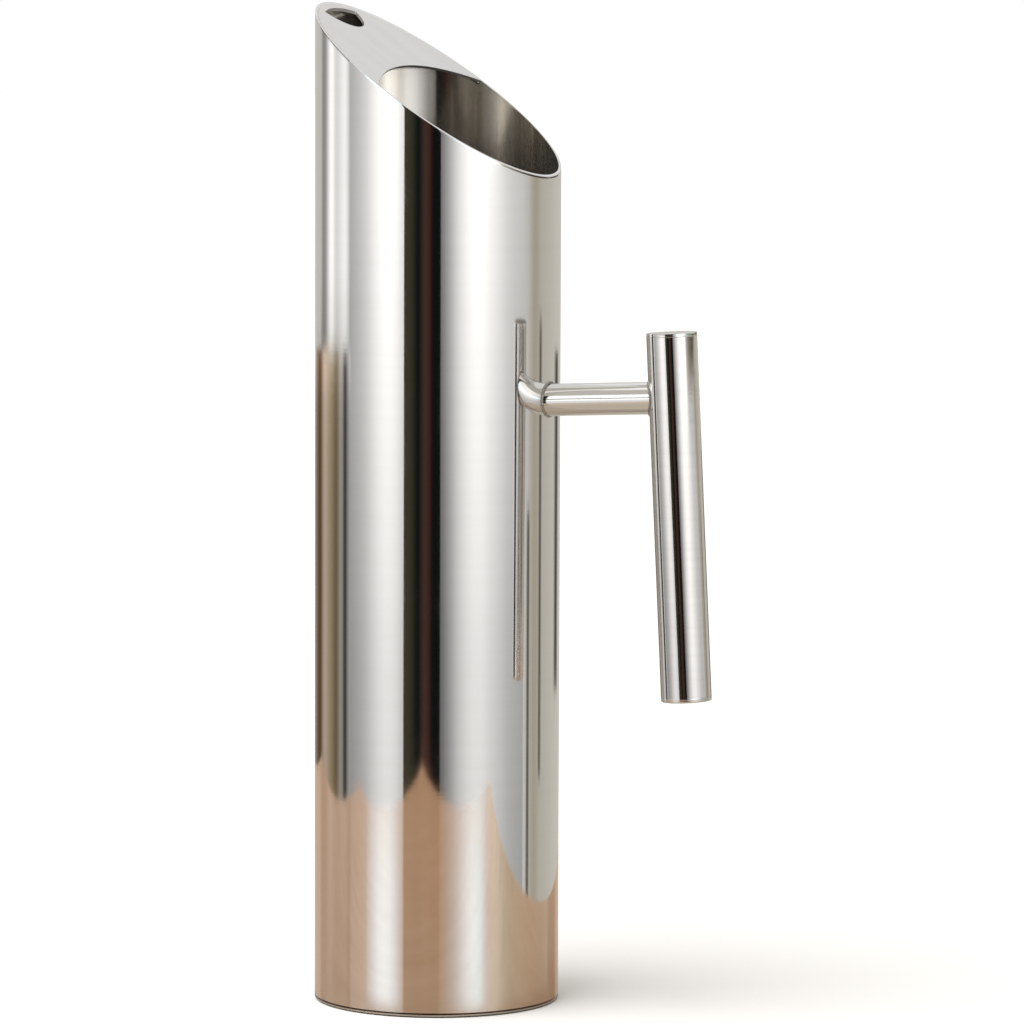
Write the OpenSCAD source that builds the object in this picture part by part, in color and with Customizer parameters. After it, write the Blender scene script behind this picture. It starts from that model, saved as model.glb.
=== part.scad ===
// Slant-mouthed water pitcher in stainless steel: a plain tube with a welded base, a flat
// ice guard across the pouring side of the mouth, and a T-shaped tube handle.
// +Z is up, the origin is the centre of the resting face, the handle points along +X
// and the pouring lip is at -X.

/* [Body] */
// Outer diameter of the body tube
body_od = 85; // [70:1:110]
// Height of the pouring lip's tip above the table
body_h = 346; // [270:1:420]
// Slope of the mouth, in degrees from level
mouth_slope = 34.8; // [20:0.1:40]
// Wall of the body tube
body_wall = 1.0; // [0.6:0.1:2]

/* [Base] */
// Sheet thickness of the pressed base
base_t = 1.0; // [0.8:0.1:2]
// Width of the flat ring that the pitcher rests on
foot_w = 7; // [4:0.5:12]
// How far the middle of the base is pressed up
base_rise = 2.2; // [0.5:0.1:5]
// Radius of the base's outer lower edge
base_round = 0.5; // [0.2:0.05:0.5]

/* [Ice guard] */
// Plate thickness of the guard
guard_t = 1.0; // [0.6:0.1:2]
// Reach of the guard from the lip tip to the middle of its scooped edge, along the slope
guard_reach = 38; // [30:0.5:46]
// Radius of the scooped edge
scoop_r = 88.5; // [60:0.5:140]
// Radius of the pouring hole's inner edge
pour_r = 12.5; // [8:0.1:14]
// Reach of the pouring hole from the lip tip, along the slope
pour_reach = 15; // [12:0.1:18]
// Strip of guard left between the pouring hole and the wall
pour_strip = 2; // [1.8:0.1:3]

/* [Handle] */
// Height of the arm's axis where it meets the body
arm_h = 210.3; // [120:0.1:230]
// Outer diameter of the arm
arm_od = 11.2; // [8:0.1:14]
// Wall of the arm tube
arm_wall = 1.2; // [0.8:0.1:2]
// Distance from the body's surface to the grip's axis, along the arm
handle_reach = 46.5; // [35:0.5:70]
// Upward tilt of the arm, in degrees; the grip stands square to it
handle_tilt = 2.9; // [0:0.1:6]
// Outer diameter of the grip
grip_od = 17.4; // [15:0.1:24]
// Wall of the grip tube
grip_wall = 1.0; // [0.8:0.1:2]
// Grip length above the arm's axis, cap included
grip_above = 22.3; // [14:0.1:40]
// Grip length below the arm's axis, cap included
grip_below = 103.7; // [60:0.1:115]
// Thickness of the grip's end caps
cap_t = 1.2; // [0.8:0.1:2]
// Radius of the caps' outer edge
cap_round = 0.4; // [0.1:0.05:0.4]
// Diameter of the vent drilled through the grip inside the arm
vent_d = 3; // [1:0.1:4]

/* [Welds] */
// Leg of the fillet welds round the arm and inside the body
weld_leg = 1.2; // [0.6:0.1:1.5]
// Depth of the V grooves at the base seam and the cap seams
seam_v = 0.3; // [0.1:0.05:0.3]

/* [Hidden] */
$fn = 96;

body_r = body_od / 2;
inner_r = body_r - body_wall;
arm_r = arm_od / 2;
grip_r = grip_od / 2;

// The mouth plane: height at the body's axis, and half its length along the slope
mouth_h = body_h - body_r * tan(mouth_slope);
mouth_half = body_r / cos(mouth_slope);

// Places along the slope, counted from the mouth's middle towards the handle
guard_edge = guard_reach - mouth_half;
scoop_centre = guard_edge + scoop_r;
pour_centre = pour_reach - pour_r - mouth_half;

// The base's flat ring ends here and its raised middle starts after a short slope
foot_in = body_r - foot_w;
rise_run = 1.5 * base_rise;

// Overshoot of cutting tools past the faces that they cut
over = 1;

// Places a child on the mouth plane, +X down the slope and +Z out of the mouth
module on_mouth() {
    translate([0, 0, mouth_h])
        rotate([0, mouth_slope, 0])
            children();
}

// Places a child where the arm meets the body, +X along the arm and +Z along the grip
module on_handle() {
    translate([body_r, 0, arm_h])
        rotate([0, -handle_tilt, 0])
            children();
}

// Places a child on the grip's axis, level with the arm
module on_grip() {
    on_handle()
        translate([handle_reach, 0, 0])
            children();
}

// A rod along the arm, from inside the body to the grip's axis
module arm_rod(r) {
    on_handle()
        translate([-arm_od, 0, 0])
            rotate([0, 90, 0])
                cylinder(r = r, h = handle_reach + arm_od);
}

// A rod along the grip's whole length
module grip_rod(r) {
    on_grip()
        translate([0, 0, -grip_below])
            cylinder(r = r, h = grip_below + grip_above);
}

// A solid column of the body's axis, taller than the body
module column(r) {
    translate([0, 0, -over])
        cylinder(r = r, h = body_h + 2 * over);
}

// A slab that covers the mouth, between two heights measured from the mouth plane
module mouth_slab(low, high) {
    on_mouth()
        translate([-mouth_half - over, -body_r - over, low])
            cube([2 * (mouth_half + over), body_od + 2 * over, high - low]);
}

// The column that scoops the guard's edge
module scoop() {
    on_mouth()
        translate([scoop_centre, 0, -guard_t - weld_leg - over])
            cylinder(r = scoop_r, h = guard_t + weld_leg + 2 * over);
}

// Tube wall, with a small bevel at the base seam, cut off along the mouth plane
module body_tube() {
    color("silver")
        difference() {
            rotate_extrude()
                polygon([
                    [inner_r, base_t],
                    [body_r - seam_v, base_t],
                    [body_r, base_t + seam_v],
                    [body_r, body_h],
                    [inner_r, body_h]
                ]);
            mouth_slab(0, body_h);
        }
}

// Section of the base's flat ring, with a rounded lower edge and a bevel at the seam
module foot_section() {
    translate([foot_in, 0])
        square([foot_w - base_round, base_t]);
    translate([foot_in, base_round])
        polygon([
            [0, 0],
            [foot_w, 0],
            [foot_w, base_t - base_round - seam_v],
            [foot_w - seam_v, base_t - base_round],
            [0, base_t - base_round]
        ]);
    translate([body_r - base_round, base_round])
        circle(r = base_round);
}

// Pressed base: a flat ring to stand on and a raised middle
module base_pan() {
    color("darkgray")
        rotate_extrude() {
            foot_section();
            polygon([
                [foot_in, 0],
                [foot_in, base_t],
                [foot_in - rise_run, base_t + base_rise],
                [0, base_t + base_rise],
                [0, base_rise],
                [foot_in - rise_run, base_rise]
            ]);
        }
}

// Fillet weld in the corner between the base and the body's wall
module base_weld() {
    color("gray")
        rotate_extrude()
            polygon([
                [inner_r, base_t],
                [inner_r, base_t + weld_leg],
                [inner_r - weld_leg, base_t]
            ]);
}

// Flat guard flush with the mouth, with a scooped edge and a pouring hole by the lip
module pour_guard() {
    color("gainsboro")
        difference() {
            intersection() {
                mouth_slab(-guard_t, 0);
                column(inner_r);
            }
            scoop();
            intersection() {
                on_mouth()
                    translate([pour_centre, 0, -guard_t - over])
                        cylinder(r = pour_r, h = guard_t + 2 * over);
                column(inner_r - pour_strip);
            }
        }
}

// Weld under the guard, along the body's wall
module guard_weld() {
    color("gray")
        difference() {
            intersection() {
                mouth_slab(-guard_t - weld_leg, -guard_t);
                column(inner_r);
            }
            column(inner_r - weld_leg);
            scoop();
        }
}

// Arm tube, its ends shaped to the body and to the grip
module handle_arm() {
    color("silver")
        difference() {
            arm_rod(arm_r);
            arm_rod(arm_r - arm_wall);
            column(body_r);
            grip_rod(grip_r);
        }
}

// Weld bead round the arm on the body
module arm_body_weld() {
    color("dimgray")
        difference() {
            intersection() {
                arm_rod(arm_r + weld_leg);
                column(body_r + weld_leg);
            }
            column(body_r);
            arm_rod(arm_r);
        }
}

// Weld bead round the arm on the grip
module arm_grip_weld() {
    color("dimgray")
        difference() {
            intersection() {
                arm_rod(arm_r + weld_leg);
                grip_rod(grip_r + weld_leg);
            }
            grip_rod(grip_r);
            arm_rod(arm_r);
        }
}

// Grip tube with bevelled ends and a vent hidden inside the arm
module grip_tube() {
    tube_low = cap_t - grip_below;
    tube_high = grip_above - cap_t;
    color("silver")
        difference() {
            on_grip()
                rotate_extrude()
                    polygon([
                        [grip_r - grip_wall, tube_low],
                        [grip_r - seam_v, tube_low],
                        [grip_r, tube_low + seam_v],
                        [grip_r, tube_high - seam_v],
                        [grip_r - seam_v, tube_high],
                        [grip_r - grip_wall, tube_high]
                    ]);
            on_grip()
                rotate([0, -90, 0])
                    cylinder(d = vent_d, h = grip_r + over);
        }
}

// Section of an end cap, its seam bevel at z = 0 and its rounded edge at the far side
module cap_section() {
    square([grip_r - cap_round, cap_t]);
    polygon([
        [0, 0],
        [grip_r - seam_v, 0],
        [grip_r, seam_v],
        [grip_r, cap_t - cap_round],
        [0, cap_t - cap_round]
    ]);
    translate([grip_r - cap_round, cap_t - cap_round])
        intersection() {
            circle(r = cap_round);
            square(cap_round);
        }
}

module grip_top_cap() {
    color("gainsboro")
        on_grip()
            translate([0, 0, grip_above - cap_t])
                rotate_extrude()
                    cap_section();
}

module grip_bottom_cap() {
    color("gainsboro")
        on_grip()
            translate([0, 0, cap_t - grip_below])
                mirror([0, 0, 1])
                    rotate_extrude()
                        cap_section();
}

// The weld that fills the V groove of one cap seam, ground flush
module seam_ring() {
    rotate_extrude()
        polygon([
            [grip_r - seam_v, 0],
            [grip_r, -seam_v],
            [grip_r, seam_v]
        ]);
}

module grip_cap_welds() {
    color("gray")
        on_grip()
            for (z = [cap_t - grip_below, grip_above - cap_t])
                translate([0, 0, z])
                    seam_ring();
}

body_tube();
base_pan();
base_weld();
pour_guard();
guard_weld();
handle_arm();
arm_body_weld();
arm_grip_weld();
grip_tube();
grip_top_cap();
grip_bottom_cap();
grip_cap_welds();
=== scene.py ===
from math import atan2, cos, pi, radians, sin, tan

import bmesh
import bpy
from mathutils import Matrix, Vector


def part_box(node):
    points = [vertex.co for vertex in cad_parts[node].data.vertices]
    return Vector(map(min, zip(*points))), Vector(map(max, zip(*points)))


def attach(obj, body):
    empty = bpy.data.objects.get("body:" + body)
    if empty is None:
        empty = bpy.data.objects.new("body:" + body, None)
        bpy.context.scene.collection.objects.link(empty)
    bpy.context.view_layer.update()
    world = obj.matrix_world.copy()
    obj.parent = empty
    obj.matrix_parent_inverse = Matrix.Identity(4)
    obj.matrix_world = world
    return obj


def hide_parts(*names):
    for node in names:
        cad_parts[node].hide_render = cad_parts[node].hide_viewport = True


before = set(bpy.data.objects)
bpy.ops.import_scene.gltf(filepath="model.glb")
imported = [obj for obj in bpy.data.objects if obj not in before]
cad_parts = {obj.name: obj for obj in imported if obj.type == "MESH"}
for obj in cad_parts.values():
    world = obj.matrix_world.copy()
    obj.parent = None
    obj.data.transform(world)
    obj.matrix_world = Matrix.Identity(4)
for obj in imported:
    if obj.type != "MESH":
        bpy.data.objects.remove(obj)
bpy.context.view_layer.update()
mm = 0.001
near = 0.05 * mm  # anything closer counts as lying on a line or a face


def middleOf(node):
    low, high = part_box(node)
    return (low + high) / 2


bodyLow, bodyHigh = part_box("body_tube")
bodyRadius = bodyHigh.y
topCap, lowCap = middleOf("grip_top_cap"), middleOf("grip_bottom_cap")
gripAxis = (topCap - lowCap).normalized()
armAxis = Vector((gripAxis.z, 0, -gripAxis.x))
print("frame loaded, body radius", round(bodyRadius, 4))


def deselectAll():
    if bpy.context.mode != "OBJECT":
        bpy.ops.object.mode_set(mode="OBJECT")
    bpy.ops.object.select_all(action="DESELECT")


def makeActive(piece):
    deselectAll()
    piece.select_set(True)
    bpy.context.view_layer.objects.active = piece


def startEdit(piece, kind="EDGE"):
    makeActive(piece)
    bpy.ops.object.mode_set(mode="EDIT")
    bpy.ops.mesh.select_mode(type=kind)
    bpy.ops.mesh.select_all(action="DESELECT")


def stopEdit():
    bpy.ops.object.mode_set(mode="OBJECT")


# selects the edges or faces that pass the test, which gets each one and its middle
def pick(piece, kind, test):
    grid = bmesh.from_edit_mesh(piece.data)
    grid.normal_update()
    for item in (grid.edges if kind == "EDGE" else grid.faces):
        middle = sum((v.co for v in item.verts), Vector()) / len(item.verts)
        if test(item, middle):
            item.select_set(True)
    grid.select_flush_mode()
    bmesh.update_edit_mesh(piece.data)


def bevelEdges(piece, width, segments, test):
    bpy.ops.mesh.select_all(action="DESELECT")
    pick(piece, "EDGE", test)
    bpy.ops.mesh.bevel(offset=width, segments=segments, affect="EDGES")


# cuts the whole mesh along a plane, which adds a loop unless a side is cleared away
def slicePiece(point, normal, **keeps):
    bpy.ops.mesh.select_all(action="SELECT")
    bpy.ops.mesh.bisect(plane_co=point, plane_no=normal, **keeps)


def useModifier(piece, kind, **values):
    makeActive(piece)
    made = piece.modifiers.new(kind.title(), kind)
    for name, value in values.items():
        setattr(made, name, value)
    bpy.ops.object.modifier_apply(modifier=made.name)


def cutAway(piece, cutter, operation="DIFFERENCE"):
    useModifier(piece, "BOOLEAN", operation=operation, object=cutter, solver="EXACT")
    bpy.data.objects.remove(cutter)


def nameActive(name):
    piece = bpy.context.object
    piece.name = piece.data.name = name
    return piece


def addRod(name, radius, depth, middle, turn=(0, 0, 0), sides=128, ends="NGON"):
    deselectAll()
    bpy.ops.mesh.primitive_cylinder_add(
        vertices=sides, radius=radius, depth=depth, end_fill_type=ends,
        location=middle, rotation=turn)
    return nameActive(name)


def addRing(name, radius, middle, turn=(0, 0, 0), sides=128, fill="NOTHING"):
    deselectAll()
    bpy.ops.mesh.primitive_circle_add(
        vertices=sides, radius=radius, fill_type=fill, location=middle, rotation=turn)
    return nameActive(name)


def placeFixed(piece):
    makeActive(piece)
    bpy.ops.object.transform_apply(location=True, rotation=True, scale=True)


def smoothAndSettle(piece, angle=30):
    makeActive(piece)
    bpy.ops.object.shade_smooth_by_angle(angle=radians(angle))
    useModifier(piece, "WEIGHTED_NORMAL", keep_sharp=True, weight=80)


def finishPiece(piece, node, slotName, *materials):
    for made in materials:
        piece.data.materials.append(made)
    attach(piece, "root")
    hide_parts(node)
    print("made", piece.name, len(piece.data.polygons), "faces")


# adds a shader node, with its settings as keywords and its sockets' values in a dictionary
def addNode(tree, kind, place, sockets=None, **settings):
    node = tree.nodes.new(kind)
    node.location = (place[0] * 200, place[1] * -180)
    for name, value in settings.items():
        setattr(node, name, value)
    for name, value in (sockets or {}).items():
        node.inputs[name].default_value = value
    return node


def join(start, output, end, socket):
    start.id_data.links.new(start.outputs[output], end.inputs[socket])


def startGroup(name, given, made):
    group = bpy.data.node_groups.new(name, "ShaderNodeTree")
    for socket, kind in given:
        group.interface.new_socket(socket, in_out="INPUT", socket_type="NodeSocket" + kind)
    for socket in made:
        group.interface.new_socket(socket, in_out="OUTPUT", socket_type="NodeSocketFloat")
    return (group, addNode(group, "NodeGroupInput", (-4, 0)),
            addNode(group, "NodeGroupOutput", (3, 0)))


# fine polishing lines: long along one way, tight across it
def buildPolishLines():
    group, given, out = startGroup(
        "polishLines", [("Vector", "Vector"), ("Tightness", "Float")], ["Height", "Streaks"])
    fine = addNode(group, "ShaderNodeTexNoise", (-1, 0), {"Detail": 3.0, "Roughness": 0.6})
    broad = addNode(group, "ShaderNodeTexNoise", (-1, 2), {"Detail": 2.0, "Roughness": 0.5})
    looser = addNode(group, "ShaderNodeMath", (-2, 2), {1: 0.12}, operation="MULTIPLY")
    mix = addNode(group, "ShaderNodeMath", (1, 0), {1: 0.6}, operation="MULTIPLY_ADD")
    join(given, "Vector", fine, "Vector")
    join(given, "Vector", broad, "Vector")
    join(given, "Tightness", fine, "Scale")
    join(given, "Tightness", looser, 0)
    join(looser, 0, broad, "Scale")
    join(fine, 0, mix, 0)
    join(broad, 0, mix, 2)
    join(mix, 0, out, "Height")
    join(broad, 0, out, "Streaks")
    return group


# where hands and a cloth have touched the polish: soft clouds, and the sheet's slight waves
def buildHandMarks():
    group, given, out = startGroup(
        "handMarks", [("Vector", "Vector"), ("Size", "Float")], ["Marks", "Waves"])
    cloud = addNode(group, "ShaderNodeTexNoise", (-1, 0),
                    {"Detail": 5.0, "Roughness": 0.62, "Distortion": 0.4})
    wave = addNode(group, "ShaderNodeTexNoise", (-1, 2), {"Detail": 0.0, "Scale": 16.0})
    keep = addNode(group, "ShaderNodeMapRange", (1, 0), {"From Min": 0.5, "From Max": 0.75})
    join(given, "Vector", cloud, "Vector")
    join(given, "Vector", wave, "Vector")
    join(given, "Size", cloud, "Scale")
    join(cloud, 0, keep, 0)
    join(keep, 0, out, "Marks")
    join(wave, 0, out, "Waves")
    return group


polishLines = buildPolishLines()
handMarks = buildHandMarks()


def startMaterial(name):
    made = bpy.data.materials.new(name)
    made.use_nodes = True
    return made, made.node_tree, made.node_tree.nodes["Principled BSDF"]


def makeSteel(name, finish):
    made, tree, shader = startMaterial(name)
    shader.inputs["Metallic"].default_value = finish.get("metallic", 1.0)
    shader.inputs["Anisotropic"].default_value = finish.get("anisotropic", 0.0)
    shader.inputs["Anisotropic Rotation"].default_value = finish.get("brushTurn", 0.0)
    place = addNode(tree, "ShaderNodeTexCoord", (-7, 0))
    stretch = addNode(tree, "ShaderNodeMapping", (-6, 0), {"Scale": finish["lineScale"]})
    lines = addNode(tree, "ShaderNodeGroup", (-5, 0), node_tree=polishLines)
    lines.inputs["Tightness"].default_value = finish["tightness"]
    marks = addNode(tree, "ShaderNodeGroup", (-5, 2), node_tree=handMarks)
    marks.inputs["Size"].default_value = finish["markSize"]
    join(place, "Object", stretch, "Vector")
    join(stretch, "Vector", lines, "Vector")
    join(place, "Object", marks, "Vector")

    low, high = finish.get("streakRange", (0.35, 0.7))
    spread = addNode(tree, "ShaderNodeMapRange", (-4, 0), {"From Min": low, "From Max": high})
    tint = addNode(tree, "ShaderNodeMix", (-3, 0),
                   {6: (*finish["colour"], 1), 7: (*finish["streakColour"], 1)}, data_type="RGBA")
    join(lines, "Streaks", spread, 0)
    join(spread, 0, tint, 0)
    join(tint, 2, shader, "Base Color")

    smooth, rough = finish["roughness"]
    worn = addNode(tree, "ShaderNodeMapRange", (-3, 2), {"To Min": smooth, "To Max": rough})
    grainRough = addNode(tree, "ShaderNodeMath", (-2, 2), {1: finish["grainRoughness"]},
                         operation="MULTIPLY_ADD")
    join(marks, "Marks", worn, 0)
    join(lines, "Height", grainRough, 0)
    join(worn, 0, grainRough, 2)
    join(grainRough, 0, shader, "Roughness")

    waves = addNode(tree, "ShaderNodeBump", (-2, 4), {"Distance": finish["waveDepth"]})
    grain = addNode(tree, "ShaderNodeBump", (-1, 4), {"Distance": finish["grainDepth"]})
    join(marks, "Waves", waves, "Height")
    join(lines, "Height", grain, "Height")
    join(waves, "Normal", grain, "Normal")
    join(grain, "Normal", shader, "Normal")
    return made


# lineScale stretches the polishing lines: the smallest number is the way they run
mirrorFinish = {
    "colour": (0.80, 0.79, 0.77),
    "streakColour": (0.79, 0.779, 0.758),
    "lineScale": (10, 10, 400),
    "tightness": 7.0,
    "markSize": 24.0,
    "roughness": (0.03, 0.075),  # clean, and under hand marks
    "grainRoughness": 0.02,
    "waveDepth": 0.08 * mm,
    "grainDepth": 0.0012 * mm,
}
gripFinish = dict(
    mirrorFinish, colour=(0.78, 0.76, 0.74), streakColour=(0.74, 0.72, 0.70),
    roughness=(0.05, 0.11), markSize=60.0, waveDepth=0.02 * mm)
# not quite all metal: the rest stands for the many bounces that a deep tube has
insideFinish = dict(
    mirrorFinish, colour=(0.77, 0.745, 0.70), streakColour=(0.60, 0.56, 0.50),
    metallic=0.955, anisotropic=0.9, brushTurn=0.25, lineScale=(160, 160, 2), tightness=5.0,
    roughness=(0.10, 0.14), grainRoughness=0.03, streakRange=(0.42, 0.62),
    grainDepth=0.003 * mm, waveDepth=0.1 * mm)
satinFinish = dict(
    mirrorFinish, colour=(0.76, 0.75, 0.73), streakColour=(0.74, 0.73, 0.71),
    lineScale=(20, 200, 20), tightness=6.0, roughness=(0.26, 0.33), grainRoughness=0.1,
    grainDepth=0.006 * mm, markSize=60.0, waveDepth=0.03 * mm)
rimFinish = dict(
    satinFinish, colour=(0.84, 0.83, 0.81), streakColour=(0.78, 0.77, 0.75),
    lineScale=(90, 90, 90), roughness=(0.16, 0.24))
baseFinish = dict(
    satinFinish, colour=(0.72, 0.71, 0.69), streakColour=(0.64, 0.63, 0.61),
    lineScale=(60, 60, 60), roughness=(0.2, 0.3))
beadFinish = dict(
    satinFinish, colour=(0.48, 0.45, 0.41), streakColour=(0.27, 0.22, 0.18),
    lineScale=(60, 60, 60), tightness=9.0, roughness=(0.2, 0.34), grainDepth=0.03 * mm)
# painted shade: the faces of the seam groove between the body and the base are coloured near
# black, to draw the dark shadow line along the seam
seamShadeFinish = dict(beadFinish, colour=(0.20, 0.165, 0.13), streakColour=(0.10, 0.07, 0.05))

mirrorSteel = makeSteel("mirrorSteel", mirrorFinish)
gripSteel = makeSteel("gripSteel", gripFinish)
insideSteel = makeSteel("brushedInside", insideFinish)
satinSteel = makeSteel("satinGuard", satinFinish)
rimSteel = makeSteel("groundRim", rimFinish)
baseSteel = makeSteel("pressedBase", baseFinish)
beadSteel = makeSteel("weldBead", beadFinish)
seamShadeSteel = makeSteel("paintedSeamShade", seamShadeFinish)
print("steel finishes ready")


body = {
    "wall": 1.0 * mm,
    "mouthSlope": 34.8,  # degrees from level
    "rimRound": 0.22 * mm,
    "rimBand": 0.35 * mm,  # how far below the mouth the ground rim's finish reaches
    "seamGroove": 0.3 * mm,
    "rimLoops": (0.8 * mm, 4 * mm, 30 * mm),  # they keep the shading straight under the rim
    "seamLoops": (1.2 * mm, 6 * mm, 120 * mm),  # and over the seam
    "sides": 384,
}
innerRadius = bodyRadius - body["wall"]
slope = radians(body["mouthSlope"])
mouthMiddle = Vector((0, 0, bodyHigh.z - bodyRadius * tan(slope)))
mouthNormal = Vector((sin(slope), 0, cos(slope)))
downSlope = Vector((cos(slope), 0, -sin(slope)))
mouthHalf = bodyRadius / cos(slope)


def overMouth(point):
    return (point - mouthMiddle).dot(mouthNormal)


def flatRadius(point):
    return (point.x ** 2 + point.y ** 2) ** 0.5


# true for an edge that runs round the axis, and not along or across it
def runsRound(edge, middle):
    return all(abs(flatRadius(v.co) - flatRadius(middle)) < near for v in edge.verts)


# slices along a plane that is parallel to the mouth
def sliceAtMouth(height, **keeps):
    slicePiece(mouthMiddle + mouthNormal * height, mouthNormal, **keeps)


def buildBody():
    tall = bodyHigh.z - bodyLow.z + 4 * mm  # the mouth is cut from a slightly longer tube
    shell = addRod("bodyShell", bodyRadius, tall, (0, 0, bodyLow.z + tall / 2),
                   sides=body["sides"], ends="NOTHING")
    placeFixed(shell)
    useModifier(shell, "SOLIDIFY", thickness=body["wall"], offset=-1, use_even_offset=True)
    startEdit(shell)
    sliceAtMouth(0, clear_outer=True)
    bpy.ops.mesh.bridge_edge_loops()
    bevelEdges(shell, body["rimRound"], 3,
               lambda e, m: abs(overMouth(m)) < near and runsRound(e, m))
    for depth in body["rimLoops"]:
        sliceAtMouth(-depth)
    for height in body["seamLoops"]:
        slicePiece((0, 0, bodyLow.z + height), (0, 0, 1))
    bevelEdges(shell, body["seamGroove"], 1,
               lambda e, m: m.z < bodyLow.z + near and flatRadius(m) > bodyRadius - near)
    stopEdit()
    smoothAndSettle(shell, 32)
    for face in shell.data.polygons:
        outward = Vector((face.center.x, face.center.y, 0)).normalized().dot(face.normal)
        if flatRadius(face.center) < innerRadius + near and outward < -0.8:
            face.material_index = 1
        elif overMouth(face.center) > -body["rimBand"]:
            face.material_index = 2
        # the body's faces in the seam groove get the painted shade
        elif face.center.z < bodyLow.z + body["seamGroove"]:
            face.material_index = 3
    finishPiece(shell, "body_tube", "mirror_steel", mirrorSteel, insideSteel, rimSteel, seamShadeSteel)
    return shell


bodyShell = buildBody()


base = {
    "sheet": 1.0 * mm,
    "ring": 7 * mm,
    "slopeRun": 3.3 * mm,
    "rise": 2.2 * mm,
    "insets": (6 * mm, 8 * mm, 9 * mm),  # rings toward the middle, so the last face is small
    "creaseRound": 0.7 * mm,
    "creaseShift": 0.6 * mm,  # most that a crease lies nearer or farther on the upper side
    "lowerRound": 0.49 * mm,
    "sides": 384,
}


def buildBase():
    pan = addRing("basePan", bodyRadius, (0, 0, 0), sides=base["sides"], fill="NGON")
    startEdit(pan, "FACE")
    bpy.ops.mesh.select_all(action="SELECT")
    bpy.ops.mesh.inset(thickness=base["ring"])
    bpy.ops.mesh.inset(thickness=base["slopeRun"])
    bpy.ops.transform.translate(value=(0, 0, base["rise"]))
    for step in base["insets"]:
        bpy.ops.mesh.inset(thickness=step)
    stopEdit()
    useModifier(pan, "SOLIDIFY", thickness=base["sheet"], offset=1, use_even_offset=True)
    low = min(v.co.z for v in pan.data.vertices)
    outer = bodyRadius - base["ring"]
    creases = (outer, outer - base["slopeRun"])

    def onCrease(edge, middle):
        return runsRound(edge, middle) and any(
            abs(flatRadius(middle) - crease) < base["creaseShift"] for crease in creases)

    startEdit(pan)
    bevelEdges(pan, base["creaseRound"], 4, onCrease)
    bevelEdges(pan, base["lowerRound"], 4,
               lambda e, m: flatRadius(m) > bodyRadius - near and m.z < low + near)
    bevelEdges(pan, body["seamGroove"], 1, lambda e, m: flatRadius(m) > bodyRadius - near
               and m.z > low + base["sheet"] - near)
    bpy.ops.mesh.select_all(action="SELECT")
    bpy.ops.mesh.normals_make_consistent(inside=False)
    stopEdit()
    smoothAndSettle(pan, 40)
    # the base's faces in the seam groove get the painted shade
    for face in pan.data.polygons:
        if (flatRadius(face.center) > bodyRadius - body["seamGroove"]
                and face.center.z > base["sheet"] - body["seamGroove"]):
            face.material_index = 1
    finishPiece(pan, "base_pan", "base_steel", baseSteel, seamShadeSteel)


buildBase()


guard = {
    "sheet": 1.0 * mm,
    "sunk": 0.03 * mm,  # below the rim, so that the two don't share a face
    "reach": 38 * mm,  # from the lip's tip to the middle of the scooped edge
    "scoopRadius": 88.5 * mm,
    "holeRadius": 12.5 * mm,
    "holeReach": 15 * mm,
    "strip": 2.0 * mm,
    "edgeRound": 0.18 * mm,
    "edgeAngle": 38,  # an edge sharper than this many degrees is rounded
    "sides": 256,
    "scoopSides": 512,
    "holeSides": 192,
}
guardTurn = (0, slope, 0)


def alongSlope(distance):
    return mouthMiddle + downSlope * distance


# the cutters only have to reach past the plate
def buildGuard():
    plate = addRod("iceGuard", innerRadius, 120 * mm, mouthMiddle, sides=guard["sides"])
    placeFixed(plate)
    startEdit(plate)
    sliceAtMouth(-guard["sunk"], clear_outer=True, use_fill=True)
    sliceAtMouth(-guard["sheet"], clear_inner=True, use_fill=True)
    stopEdit()
    scoopMiddle = guard["reach"] - mouthHalf + guard["scoopRadius"]
    cutAway(plate, addRod("scoop", guard["scoopRadius"], 20 * mm, alongSlope(scoopMiddle),
                          guardTurn, guard["scoopSides"]))
    holeMiddle = guard["holeReach"] - guard["holeRadius"] - mouthHalf
    hole = addRod("pourHole", guard["holeRadius"], 12 * mm, alongSlope(holeMiddle), guardTurn,
                  guard["holeSides"])
    cutAway(hole, addRod("lipStrip", innerRadius - guard["strip"], 200 * mm,
                         (0, 0, mouthMiddle.z), sides=guard["sides"]), "INTERSECT")
    cutAway(plate, hole)
    useModifier(plate, "BEVEL", width=guard["edgeRound"], segments=2, limit_method="ANGLE",
                angle_limit=radians(guard["edgeAngle"]))
    smoothAndSettle(plate)
    finishPiece(plate, "pour_guard", "satin_steel", satinSteel)


buildGuard()


arm = {
    "radius": 5.6 * mm,
    "wall": 1.2 * mm,
    "overrun": 8 * mm,  # how far the uncut tube reaches into the body
    "sides": 128,
}
grip = {
    "radius": 8.7 * mm,
    "wall": 1.0 * mm,
    "above": 22.3 * mm,  # from the arm's axis to the top of the upper cap
    "cap": 1.2 * mm,
    "capRound": 0.4 * mm,
    "capInsets": (2.0 * mm, 3.0 * mm),
    "groove": 0.3 * mm,
    "vent": 3.0 * mm,
    "ventSides": 32,
    "loops": (-0.95, -0.5, 0, 0.5, 0.95),  # shares of half the grip's length
    "sides": 192,
}
tilt = atan2(-gripAxis.x, gripAxis.z)
gripTurn = (0, -tilt, 0)
armTurn = (0, pi / 2 - tilt, 0)
armOnGrip = topCap - gripAxis * (grip["above"] - grip["cap"] / 2)
armOnBody = armOnGrip - armAxis * ((armOnGrip.x - bodyRadius) / armAxis.x)
gripHalf = (topCap - lowCap).length / 2 - grip["cap"] / 2
gripMiddle = (topCap + lowCap) / 2


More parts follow.
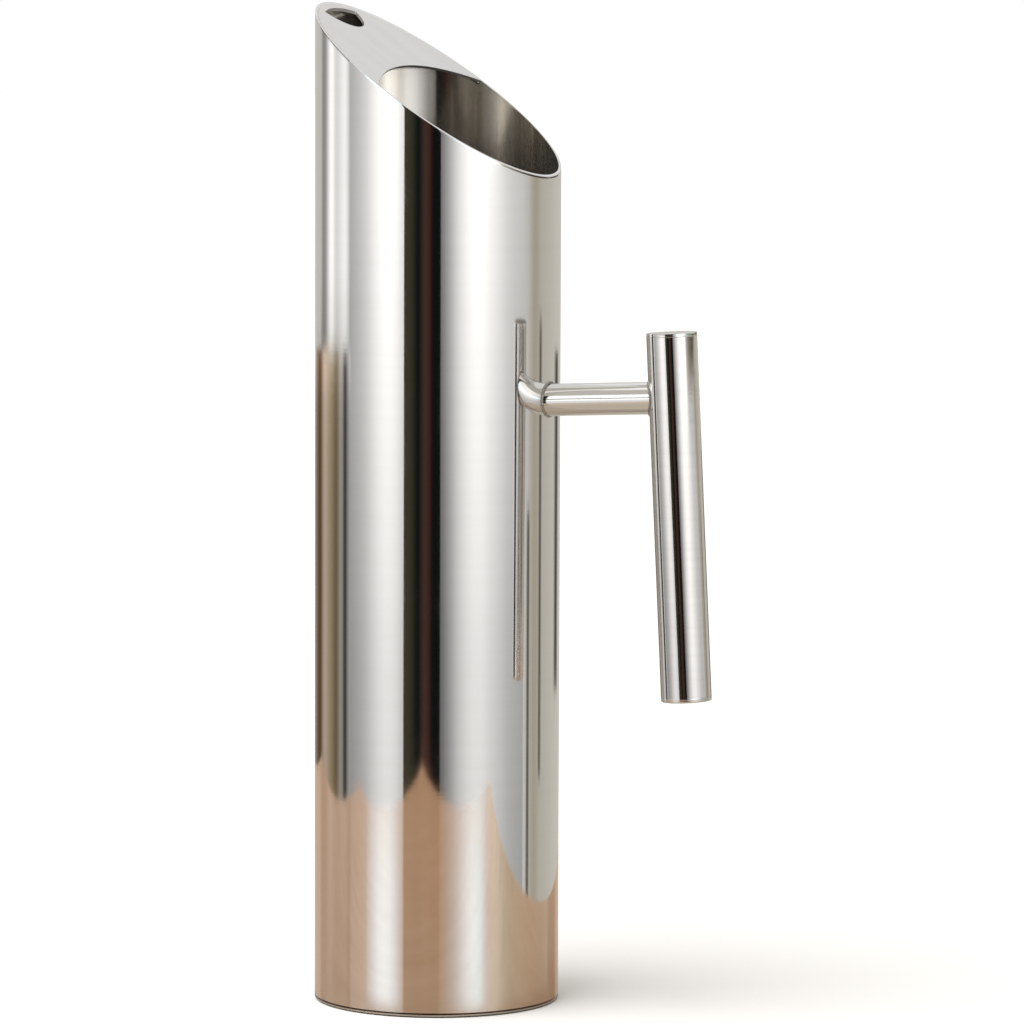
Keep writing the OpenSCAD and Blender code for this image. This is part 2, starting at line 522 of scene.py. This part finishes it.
# the tube starts inside the body and ends inside the grip, and then both are cut out of it
def buildArm():
    reach = (armOnGrip - armOnBody).length
    middle = (armOnBody + armOnGrip) / 2 - armAxis * arm["overrun"] / 2
    tube = addRod("handleArm", arm["radius"], reach + arm["overrun"], middle, armTurn,
                  arm["sides"], "NOTHING")
    placeFixed(tube)
    useModifier(tube, "SOLIDIFY", thickness=arm["wall"], offset=-1, use_even_offset=True)
    cutAway(tube, addRod("bodySide", bodyRadius, 80 * mm, (0, 0, armOnBody.z),
                         sides=body["sides"]))
    cutAway(tube, addRod("gripSide", grip["radius"], 80 * mm, armOnGrip, gripTurn, grip["sides"]))
    smoothAndSettle(tube)
    finishPiece(tube, "handle_arm", "mirror_steel", mirrorSteel)


buildArm()


def buildGrip():
    tube = addRod("gripTube", grip["radius"], gripHalf * 2, gripMiddle, gripTurn, grip["sides"],
                  "NOTHING")
    useModifier(tube, "SOLIDIFY", thickness=grip["wall"], offset=-1, use_even_offset=True)
    startEdit(tube)
    bevelEdges(tube, grip["groove"], 1, lambda e, m: abs(abs(m.z) - gripHalf) < near
               and flatRadius(m) > grip["radius"] - near)
    for share in grip["loops"]:
        slicePiece(gripMiddle + gripAxis * gripHalf * share, gripAxis)
    stopEdit()
    placeFixed(tube)
    cutAway(tube, addRod("vent", grip["vent"] / 2, 12 * mm, armOnGrip - armAxis * 8 * mm,
                         armTurn, grip["ventSides"]))
    smoothAndSettle(tube)
    finishPiece(tube, "grip_tube", "grip_steel", gripSteel)
    return tube


# a cap is a thick disc, its outer edge rounded and its seam side bevelled
def buildCap(name, node, middle, outward):
    cap = addRod(name, grip["radius"], grip["cap"], middle, gripTurn, grip["sides"])
    rim = grip["cap"] / 2 * 0.9  # an edge past this height is on one of the two ends
    startEdit(cap)
    bevelEdges(cap, grip["capRound"], 4, lambda e, m: m.z * outward > rim)
    bevelEdges(cap, grip["groove"], 1, lambda e, m: m.z * outward < -rim)
    bpy.ops.mesh.select_mode(type="FACE")
    bpy.ops.mesh.select_all(action="DESELECT")
    # the cap's flat end is the one face there with many corners
    pick(cap, "FACE", lambda f, m: m.z * outward > rim and len(f.verts) > 8)
    for step in grip["capInsets"]:
        bpy.ops.mesh.inset(thickness=step)
    stopEdit()
    placeFixed(cap)
    smoothAndSettle(cap, 40)
    finishPiece(cap, node, "grip_steel", gripSteel)


gripTube = buildGrip()
buildCap("gripTopCap", "grip_top_cap", topCap, 1)
buildCap("gripLowCap", "grip_bottom_cap", lowCap, -1)


bead = {
    "armThick": 0.42 * mm,
    "armGap": 0.28 * mm,  # from the arm's side to the bead's middle
    "baseThick": 0.72 * mm,
    "guardThick": 0.6 * mm,
    "inset": 0.35 * mm,  # from the wall and the sheet to the middle of an inside bead
    "lumps": 0.65 * mm,
    "lumpSize": 1.0 * mm,
    "roundness": 6,
    "armSides": 160,
}
beadLumps = bpy.data.textures.new("beadLumps", "CLOUDS")
beadLumps.noise_scale = bead["lumpSize"]


# turns a line into a lumpy, closed bead
def fatten(line, thick):
    makeActive(line)
    bpy.ops.object.convert(target="CURVE")
    line.data.bevel_depth = thick
    line.data.bevel_resolution = bead["roundness"]
    line.data.use_fill_caps = True
    bpy.ops.object.convert(target="MESH")
    startEdit(line)
    bpy.ops.mesh.select_all(action="SELECT")
    bpy.ops.mesh.remove_doubles(threshold=0.01 * mm)  # the end caps come loose from the bead
    stopEdit()
    useModifier(line, "DISPLACE", texture=beadLumps, strength=bead["lumps"], mid_level=0.5)
    startEdit(line)
    bpy.ops.mesh.select_all(action="SELECT")
    bpy.ops.mesh.normals_make_consistent(inside=False)
    stopEdit()
    bpy.ops.object.shade_smooth()


# a ring round the arm, moved along the arm onto the surface that it meets
def buildArmBead(name, node, middle, surface):
    ring = addRing(name, arm["radius"] + bead["armGap"], middle, armTurn, bead["armSides"])
    placeFixed(ring)
    useModifier(ring, "SHRINKWRAP", target=surface, wrap_method="PROJECT", use_project_x=True,
                use_negative_direction=True, use_positive_direction=True)
    fatten(ring, bead["armThick"])
    finishPiece(ring, node, "weld_bead", beadSteel)


buildArmBead("armBodyBead", "arm_body_weld", armOnBody + armAxis * 4 * mm, bodyShell)
buildArmBead("armGripBead", "arm_grip_weld", armOnGrip - armAxis * (grip["radius"] + 2 * mm),
             gripTube)


capSeam = {
    "sunk": 0.006 * mm,
    "width": 0.57 * mm,
    "thick": 0.28 * mm,
    "edgeRound": 0.05 * mm,
}


# narrow bands that fill the grooves between the grip and its caps, ground flush
def buildCapSeams():
    bands = []
    for middle, side in ((topCap, -1), (lowCap, 1)):
        band = addRod("band", grip["radius"] - capSeam["sunk"], capSeam["width"],
                      middle + gripAxis * side * grip["cap"] / 2, gripTurn, grip["sides"],
                      "NOTHING")
        useModifier(band, "SOLIDIFY", thickness=capSeam["thick"], offset=-1)
        startEdit(band)
        bevelEdges(band, capSeam["edgeRound"], 2,
                   lambda e, m: abs(m.z) > capSeam["width"] / 2 - near
                   and flatRadius(m) > grip["radius"] - near)
        stopEdit()
        placeFixed(band)
        bands.append(band)
    deselectAll()
    for band in bands:
        band.select_set(True)
    bpy.context.view_layer.objects.active = bands[0]
    bpy.ops.object.join()
    seam = nameActive("gripCapSeams")
    smoothAndSettle(seam, 40)
    finishPiece(seam, "grip_cap_welds", "weld_bead", gripSteel)


buildCapSeams()


# the bead inside, where the wall meets the base
def buildBaseBead():
    ring = addRing("baseBead", innerRadius - bead["inset"], (0, 0, base["sheet"] + bead["inset"]),
                   sides=body["sides"])
    placeFixed(ring)
    fatten(ring, bead["baseThick"])
    finishPiece(ring, "base_weld", "weld_bead", beadSteel)


buildBaseBead()


# the bead under the guard: the line where the wall meets a plane below the mouth
def buildGuardBead():
    line = addRod("guardBead", innerRadius - bead["inset"], 120 * mm, mouthMiddle,
                  sides=guard["sides"], ends="NOTHING")
    placeFixed(line)
    startEdit(line, "VERT")
    sliceAtMouth(-guard["sheet"] - bead["inset"], clear_outer=True)
    bpy.ops.mesh.select_all(action="INVERT")
    bpy.ops.mesh.delete(type="VERT")
    # it stops just before the scooped edge's two corners
    slicePiece((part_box("pour_guard")[1].x - 1.0 * mm, 0, 0), (1, 0, 0), clear_outer=True)
    stopEdit()
    fatten(line, bead["guardThick"])
    finishPiece(line, "guard_weld", "weld_bead", beadSteel)


buildGuardBead()
print("pitcher finished")


# turns are in degrees round the pitcher, and "turn" is where the camera stands
camera = {
    "turn": -64.67,
    "distance": 1.995,
    "height": 0.3589,
    "down": 5.412,
    "aside": 0.743,
    "roll": 0.205,
    "lens": 203.0,
}


def placeCamera():
    data = bpy.data.cameras.new("camera")
    data.lens = camera["lens"]
    data.sensor_width = 36
    data.clip_end = 100
    eye = bpy.data.objects.new("camera", data)
    bpy.context.scene.collection.objects.link(eye)
    turn = radians(camera["turn"])
    eye.matrix_world = (
        Matrix.Translation((camera["distance"] * cos(turn), camera["distance"] * sin(turn),
                            camera["height"]))
        @ Matrix.Rotation(turn + pi / 2 - radians(camera["aside"]), 4, "Z")
        @ Matrix.Rotation(pi / 2 - radians(camera["down"]), 4, "X")
        @ Matrix.Rotation(radians(camera["roll"]), 4, "Z"))
    bpy.context.scene.camera = eye


placeCamera()
bpy.context.scene.view_settings.view_transform = "Standard"  # plain colours, no film curve
print("camera placed")


# cards show only in reflections, and light nothing else
def onlyInReflections(card):
    card.visible_camera = False
    card.visible_diffuse = False
    card.visible_shadow = False


def startGlow(name):
    made, tree, shader = startMaterial(name)
    tree.nodes.remove(shader)
    return made, tree, tree.nodes["Material Output"]


def asColour(look):
    return look if isinstance(look, tuple) else (look,) * 3


# a ramp holds colours up to 1, so the looks are divided by the brightest
def fillRamp(ramp, stops, brightest):
    colours = ramp.color_ramp
    colours.interpolation = "CARDINAL" if len(stops) > 2 else "LINEAR"
    while len(colours.elements) < len(stops):
        colours.elements.new(0.5)
    for element, (at, look) in zip(colours.elements, stops):
        element.position = at
        element.color = (*[part / brightest for part in asColour(look)], 1)


walls = {"reach": 3.0, "boardReach": 2.95, "cornerReach": 2.9, "lampReach": 2.8, "sides": 180}
lampFade = 0.03  # a lamp fades out over this last stretch of its reach


# a curved light wall round the pitcher: looks are (turn from the camera, brightness or colour)
# and heights are (height, brightness)
def addWall(name, looks, heights, reach=walls["reach"], tableOnly=False):
    start, end = looks[0][0], looks[-1][0]
    low, high = heights[0][0], heights[-1][0]
    wall = addRod(name, reach, high - low, (0, 0, (low + high) / 2), sides=walls["sides"],
                  ends="NOTHING")
    placeFixed(wall)
    startEdit(wall)
    for turn, side in ((start, -1), (end, 1)):
        at = radians(camera["turn"] + turn)
        slicePiece((0, 0, 0), (-sin(at) * side, cos(at) * side, 0), clear_outer=True)
    stopEdit()

    made, tree, out = startGlow(name)
    half = radians(end - start) / 2
    middle = radians(camera["turn"] + (start + end) / 2)
    brightest = max(max(asColour(look)) for turn, look in looks)
    tallest = max(brightness for height, brightness in heights)
    place = addNode(tree, "ShaderNodeTexCoord", (-7, 0))
    turned = addNode(tree, "ShaderNodeMapping", (-6, 0), {"Rotation": (0, 0, -middle)})
    parts = addNode(tree, "ShaderNodeSeparateXYZ", (-5, 0))
    angle = addNode(tree, "ShaderNodeMath", (-4, 0), operation="ARCTAN2")
    along = addNode(tree, "ShaderNodeMapRange", (-3, 0), {"From Min": -half, "From Max": half})
    across = addNode(tree, "ShaderNodeValToRGB", (-2, 0))
    fillRamp(across, [((turn - start) / (end - start), look) for turn, look in looks], brightest)
    upward = addNode(tree, "ShaderNodeMapRange", (-3, 2), {"From Min": low, "From Max": high})
    fade = addNode(tree, "ShaderNodeValToRGB", (-2, 2))
    fillRamp(fade, [((height - low) / (high - low), brightness) for height, brightness in heights],
             tallest)
    power = addNode(tree, "ShaderNodeMath", (0, 2), {1: tallest * brightest}, operation="MULTIPLY")
    glow = addNode(tree, "ShaderNodeEmission", (1, 0))
    join(place, "Object", turned, "Vector")
    join(turned, "Vector", parts, 0)
    join(parts, "Y", angle, 0)
    join(parts, "X", angle, 1)
    join(angle, 0, along, 0)
    join(along, 0, across, 0)
    join(parts, "Z", upward, 0)
    join(upward, 0, fade, 0)
    join(fade, 0, power, 0)
    join(across, 0, glow, "Color")
    join(power, 0, glow, "Strength")
    if tableOnly:  # shines as far as the table, and hardly on the pitcher beyond it
        path = addNode(tree, "ShaderNodeLightPath", (-3, 5))
        short = addNode(tree, "ShaderNodeMapRange", (-1, 4), {
            "From Min": reach - lampFade, "From Max": reach, "To Min": 1.0, "To Max": 0.0})
        limit = addNode(tree, "ShaderNodeMath", (0, 4), operation="MULTIPLY")
        join(path, "Ray Length", short, 0)
        join(power, 0, limit, 0)
        join(short, 0, limit, 1)
        join(limit, 0, glow, "Strength")
    join(glow, 0, out, "Surface")
    wall.data.materials.append(made)
    onlyInReflections(wall)


softLight = [(-0.9, 0.6), (-0.35, 0.68), (-0.18, 0.78), (0.1, 1.0), (0.25, 1.06), (1.7, 1.1)]
evenLight = [(-0.9, 1.0), (1.7, 1.0)]
boardLight = [(-0.9, 0.85), (-0.3, 0.95), (-0.02, 1.1), (0.03, 1.7)]
panelLight = [(0.03, 0.8), (0.1, 1.0), (0.3, 1.0), (0.4, 0.2), (1.7, 0.2)]
lampLight = [(0.38, 1.0), (0.56, 1.0)]
backLight = [(0.45, 1.0), (3.2, 1.0)]


# the two bright panels and the dark gap between them
def buildFrontWalls():
    addWall("leftPanel", [
        (-89, 0.5), (-68, 0.86), (-50, 1.34), (-38, 1.2), (-31.5, 0.94)], softLight)
    addWall("rightPanel", [
        (2.5, 0.2), (17, 0.8), (34, 1.32), (50, 1.15), (66, 0.84), (88, 0.64)], softLight)
    addWall("darkGap", [
        (-31.5, (0.06, 0.045, 0.03)), (-24, (0.035, 0.035, 0.022)), (-18, (0.008, 0.009, 0.009)),
        (-13, (0.05, 0.03, 0.022)), (-9, (0.06, 0.025, 0.02)), (-5, (0.012, 0.009, 0.009)),
        (2.5, (0.008, 0.008, 0.008))], evenLight)


def buildSideWalls():
    addWall("farLeftPanel", [
        (-143, 0.6), (-136, 0.32), (-128, 0.5), (-119, 1.25), (-110, 0.85), (-96, 1.1),
        (-89, 0.5)], panelLight)
    addWall("farLeftBoard", [
        (-176, (0.5, 0.42, 0.36)), (-162, (0.32, 0.27, 0.22)), (-150, (0.15, 0.10, 0.065)),
        (-141, (0.17, 0.11, 0.07)), (-133, (0.48, 0.38, 0.30)), (-123, (0.39, 0.31, 0.215)),
        (-115.5, (0.26, 0.20, 0.125)), (-108.8, (0.17, 0.135, 0.088)),
        (-103.5, (0.33, 0.305, 0.26)), (-100, (0.26, 0.245, 0.22)), (-96.8, (0.05, 0.05, 0.05)),
        (-93.5, (0.2, 0.2, 0.2)), (-89, (0.44, 0.44, 0.44))], boardLight)
    addWall("rightWall", [
        (88, (0.64, 0.63, 0.62)), (94, (0.58, 0.56, 0.52)), (102, (0.44, 0.40, 0.33)),
        (112, (0.52, 0.49, 0.43)), (150, (0.62, 0.59, 0.53))], evenLight)
    addWall("rightBoard", [
        (91.5, (0.52, 0.5, 0.45)), (94.2, (0.1, 0.085, 0.07)), (97, (0.5, 0.48, 0.42))],
        [(-0.9, 1.0), (-0.1, 1.0)], walls["boardReach"])
    addWall("rightFrame", [
        (108.5, (0.5, 0.47, 0.42)), (112, (0.11, 0.1, 0.09)), (115.5, (0.55, 0.53, 0.48))],
        [(-0.33, 1.0), (0.06, 1.0)], walls["boardReach"])
    addWall("rightEdge", [
        (140, (0.56, 0.54, 0.49)), (148, (0.07, 0.07, 0.06)), (156, (0.4, 0.38, 0.35))],
        [(-0.26, 1.0), (0.03, 1.0)], walls["boardReach"])


# a dim corner that shows inside the mouth, by way of the far wall
def buildCorner():
    addWall("dimCorner", [
        (38, (1.3, 1.27, 1.2)), (47, (2.1, 2.05, 1.95)), (55, (1.9, 1.85, 1.75)),
        (62, (0.75, 0.7, 0.62)), (72, (0.34, 0.3, 0.25)), (90, (0.1, 0.082, 0.065)),
        (111, (0.07, 0.055, 0.042)), (119, (0.1, 0.08, 0.06)), (127, (0.26, 0.22, 0.18)),
        (135, (0.08, 0.062, 0.048)), (152, (0.08, 0.062, 0.048))],
        [(0.205, 1.0), (0.8, 1.0)], walls["cornerReach"])


# bluish lamps higher up, which only the table's gloss picks up
def buildLamps():
    addWall("leftLamp", [
        (-69, (1.1, 1.8, 2.3)), (-57, (3.9, 5.4, 6.5)), (-46, (4.3, 6.0, 7.2)),
        (-37, (2.0, 3.0, 3.7)), (-31.5, (0.8, 1.2, 1.4))],
        lampLight, walls["lampReach"], tableOnly=True)
    addWall("rightLamp", [
        (8, (0.3, 0.5, 0.6)), (20, (1.3, 2.2, 2.8)), (31, (3.6, 5.1, 6.1)), (40, (3.0, 5.2, 6.6)),
        (46, (0.9, 1.9, 2.4)), (52, (0.2, 0.5, 0.6)), (60, (0.8, 1.4, 1.3)), (72, (0.2, 0.7, 0.6)),
        (90, (0.6, 0.7, 0.55)), (130, (0.6, 0.7, 0.55))],
        lampLight, walls["lampReach"], tableOnly=True)


def buildBackWalls():
    addWall("backPanel", [(115, 0.72), (205, 0.72)], backLight)
    addWall("farBackPanel", [(205, 0.72), (240, 0.62)], backLight)


buildFrontWalls()
buildSideWalls()
buildCorner()
buildLamps()
buildBackWalls()
print("walls ready")


# a flat light overhead that the arm and the caps pick up
def addCeiling(name, turn, reach, size, brightness, height=1.7):
    at = radians(camera["turn"] + turn)
    deselectAll()
    bpy.ops.mesh.primitive_plane_add(
        size=1, location=(cos(at) * reach, sin(at) * reach, height), rotation=(0, 0, at))
    panel = nameActive(name)
    panel.scale = (*size, 1)
    placeFixed(panel)
    made, tree, out = startGlow(name)
    glow = addNode(tree, "ShaderNodeEmission", (0, 0), {"Strength": brightness})
    join(glow, 0, out, "Surface")
    panel.data.materials.append(made)
    onlyInReflections(panel)


addCeiling("frontCeiling", turn=-50, reach=0.7, size=(0.46, 2.4), brightness=1.1)
addCeiling("backCeiling", turn=130, reach=1.4, size=(2.2, 3.0), brightness=0.95)


table = {
    "edges": ((-51, 0.53), (22, 0.545), (115, 0.249), (-158, 0.6), (-101, 0.53)),  # turn, reach
    "colour": (0.58, 0.505, 0.43),
    "grainColour": (0.33, 0.285, 0.225),
    "clothColour": (0.46, 0.42, 0.37),
    "clothToWood": (-0.7, 0.2),  # from behind the pitcher (-1) to the camera's side (1)
    "warmth": (0.95, 0.38, 0.08),  # the sheen, which only shows at low angles
    "sheenRoughness": 0.35,
    "roughness": 0.2,
    "grainTurn": 25,
    "grainStretch": (3, 22, 1),
    "grainSize": 2.2,
}


# a greyish table card with a warm sheen, which turns to a plain grey cloth behind the pitcher
def buildTable():
    deselectAll()
    bpy.ops.mesh.primitive_plane_add(size=4, location=(0, 0, -0.1 * mm))
    card = nameActive("warmTable")
    placeFixed(card)
    startEdit(card)
    for turn, reach in table["edges"]:
        at = radians(camera["turn"] + turn)
        slicePiece((cos(at) * reach, sin(at) * reach, 0), (cos(at), sin(at), 0), clear_outer=True)
    stopEdit()

    made, tree, shader = startMaterial("warmTable")
    shader.inputs["Roughness"].default_value = table["roughness"]
    shader.inputs["Sheen Weight"].default_value = 1.0
    shader.inputs["Sheen Roughness"].default_value = table["sheenRoughness"]
    shader.inputs["Sheen Tint"].default_value = (*table["warmth"], 1)
    place = addNode(tree, "ShaderNodeTexCoord", (-7, 0))
    turned = addNode(tree, "ShaderNodeMapping", (-6, 0), {
        "Rotation": (0, 0, radians(table["grainTurn"])), "Scale": table["grainStretch"]})
    grain = addNode(tree, "ShaderNodeTexNoise", (-5, 0),
                    {"Scale": table["grainSize"], "Detail": 4.0})
    wood = addNode(tree, "ShaderNodeMix", (-3, 0),
                   {6: (*table["colour"], 1), 7: (*table["grainColour"], 1)}, data_type="RGBA")
    toward = addNode(tree, "ShaderNodeMapping", (-6, 3),
                     {"Rotation": (0, 0, -radians(camera["turn"]))})
    unit = addNode(tree, "ShaderNodeVectorMath", (-5, 3), operation="NORMALIZE")
    parts = addNode(tree, "ShaderNodeSeparateXYZ", (-4, 3))
    clothEnd, woodStart = table["clothToWood"]
    front = addNode(tree, "ShaderNodeMapRange", (-3, 3),
                    {"From Min": clothEnd, "From Max": woodStart})
    top = addNode(tree, "ShaderNodeMix", (-2, 0), {6: (*table["clothColour"], 1)},
                  data_type="RGBA")
    join(place, "Object", turned, "Vector")
    join(place, "Object", toward, "Vector")
    join(toward, "Vector", unit, 0)
    join(unit, "Vector", parts, 0)
    join(parts, "X", front, 0)
    join(turned, "Vector", grain, "Vector")
    join(grain, 0, wood, 0)
    join(front, 0, top, 0)
    join(wood, 2, top, 7)
    join(top, 2, shader, "Base Color")
    card.data.materials.append(made)
    onlyInReflections(card)


buildTable()


floor = {"radius": 14, "drop": 0.3 * mm, "colour": (0.93, 0.93, 0.93), "roughness": 0.9}


# the floor takes the soft shadow, and the steel doesn't see it
def buildFloor():
    disc = addRing("paleFloor", floor["radius"], (0, 0, -floor["drop"]), sides=96, fill="NGON")
    placeFixed(disc)
    made, tree, shader = startMaterial("paleFloor")
    shader.inputs["Base Color"].default_value = (*floor["colour"], 1)
    shader.inputs["Roughness"].default_value = floor["roughness"]
    shader.inputs["Specular IOR Level"].default_value = 0.0
    disc.data.materials.append(made)
    disc.visible_glossy = False


buildFloor()


roomColours = {"steelSees": (0.60, 0.575, 0.53, 1), "cameraSees": (1, 1, 1, 1)}


# a warm grey room for the steel, and plain white behind the pitcher
def buildRoom():
    room = bpy.data.worlds.new("room")
    bpy.context.scene.world = room
    room.use_nodes = True
    tree = room.node_tree
    path = addNode(tree, "ShaderNodeLightPath", (-4, 0))
    mix = addNode(tree, "ShaderNodeMix", (-2, 0),
                  {6: roomColours["steelSees"], 7: roomColours["cameraSees"]}, data_type="RGBA")
    join(path, "Is Camera Ray", mix, 0)
    join(mix, 2, tree.nodes["Background"], "Color")


buildRoom()


sky = {"place": (-0.8, -1.2, 3.0), "energy": 2.3, "spread": 50}  # spread is in degrees


# the soft daylight that makes the floor's shadow
def addSkyLamp():
    data = bpy.data.lights.new("skyLamp", "SUN")
    data.energy = sky["energy"]
    data.angle = radians(sky["spread"])
    lamp = bpy.data.objects.new("skyLamp", data)
    bpy.context.scene.collection.objects.link(lamp)
    lamp.location = sky["place"]
    lamp.rotation_euler = (-Vector(sky["place"])).to_track_quat("-Z", "Y").to_euler()
    lamp.visible_glossy = False


addSkyLamp()
print("studio ready")
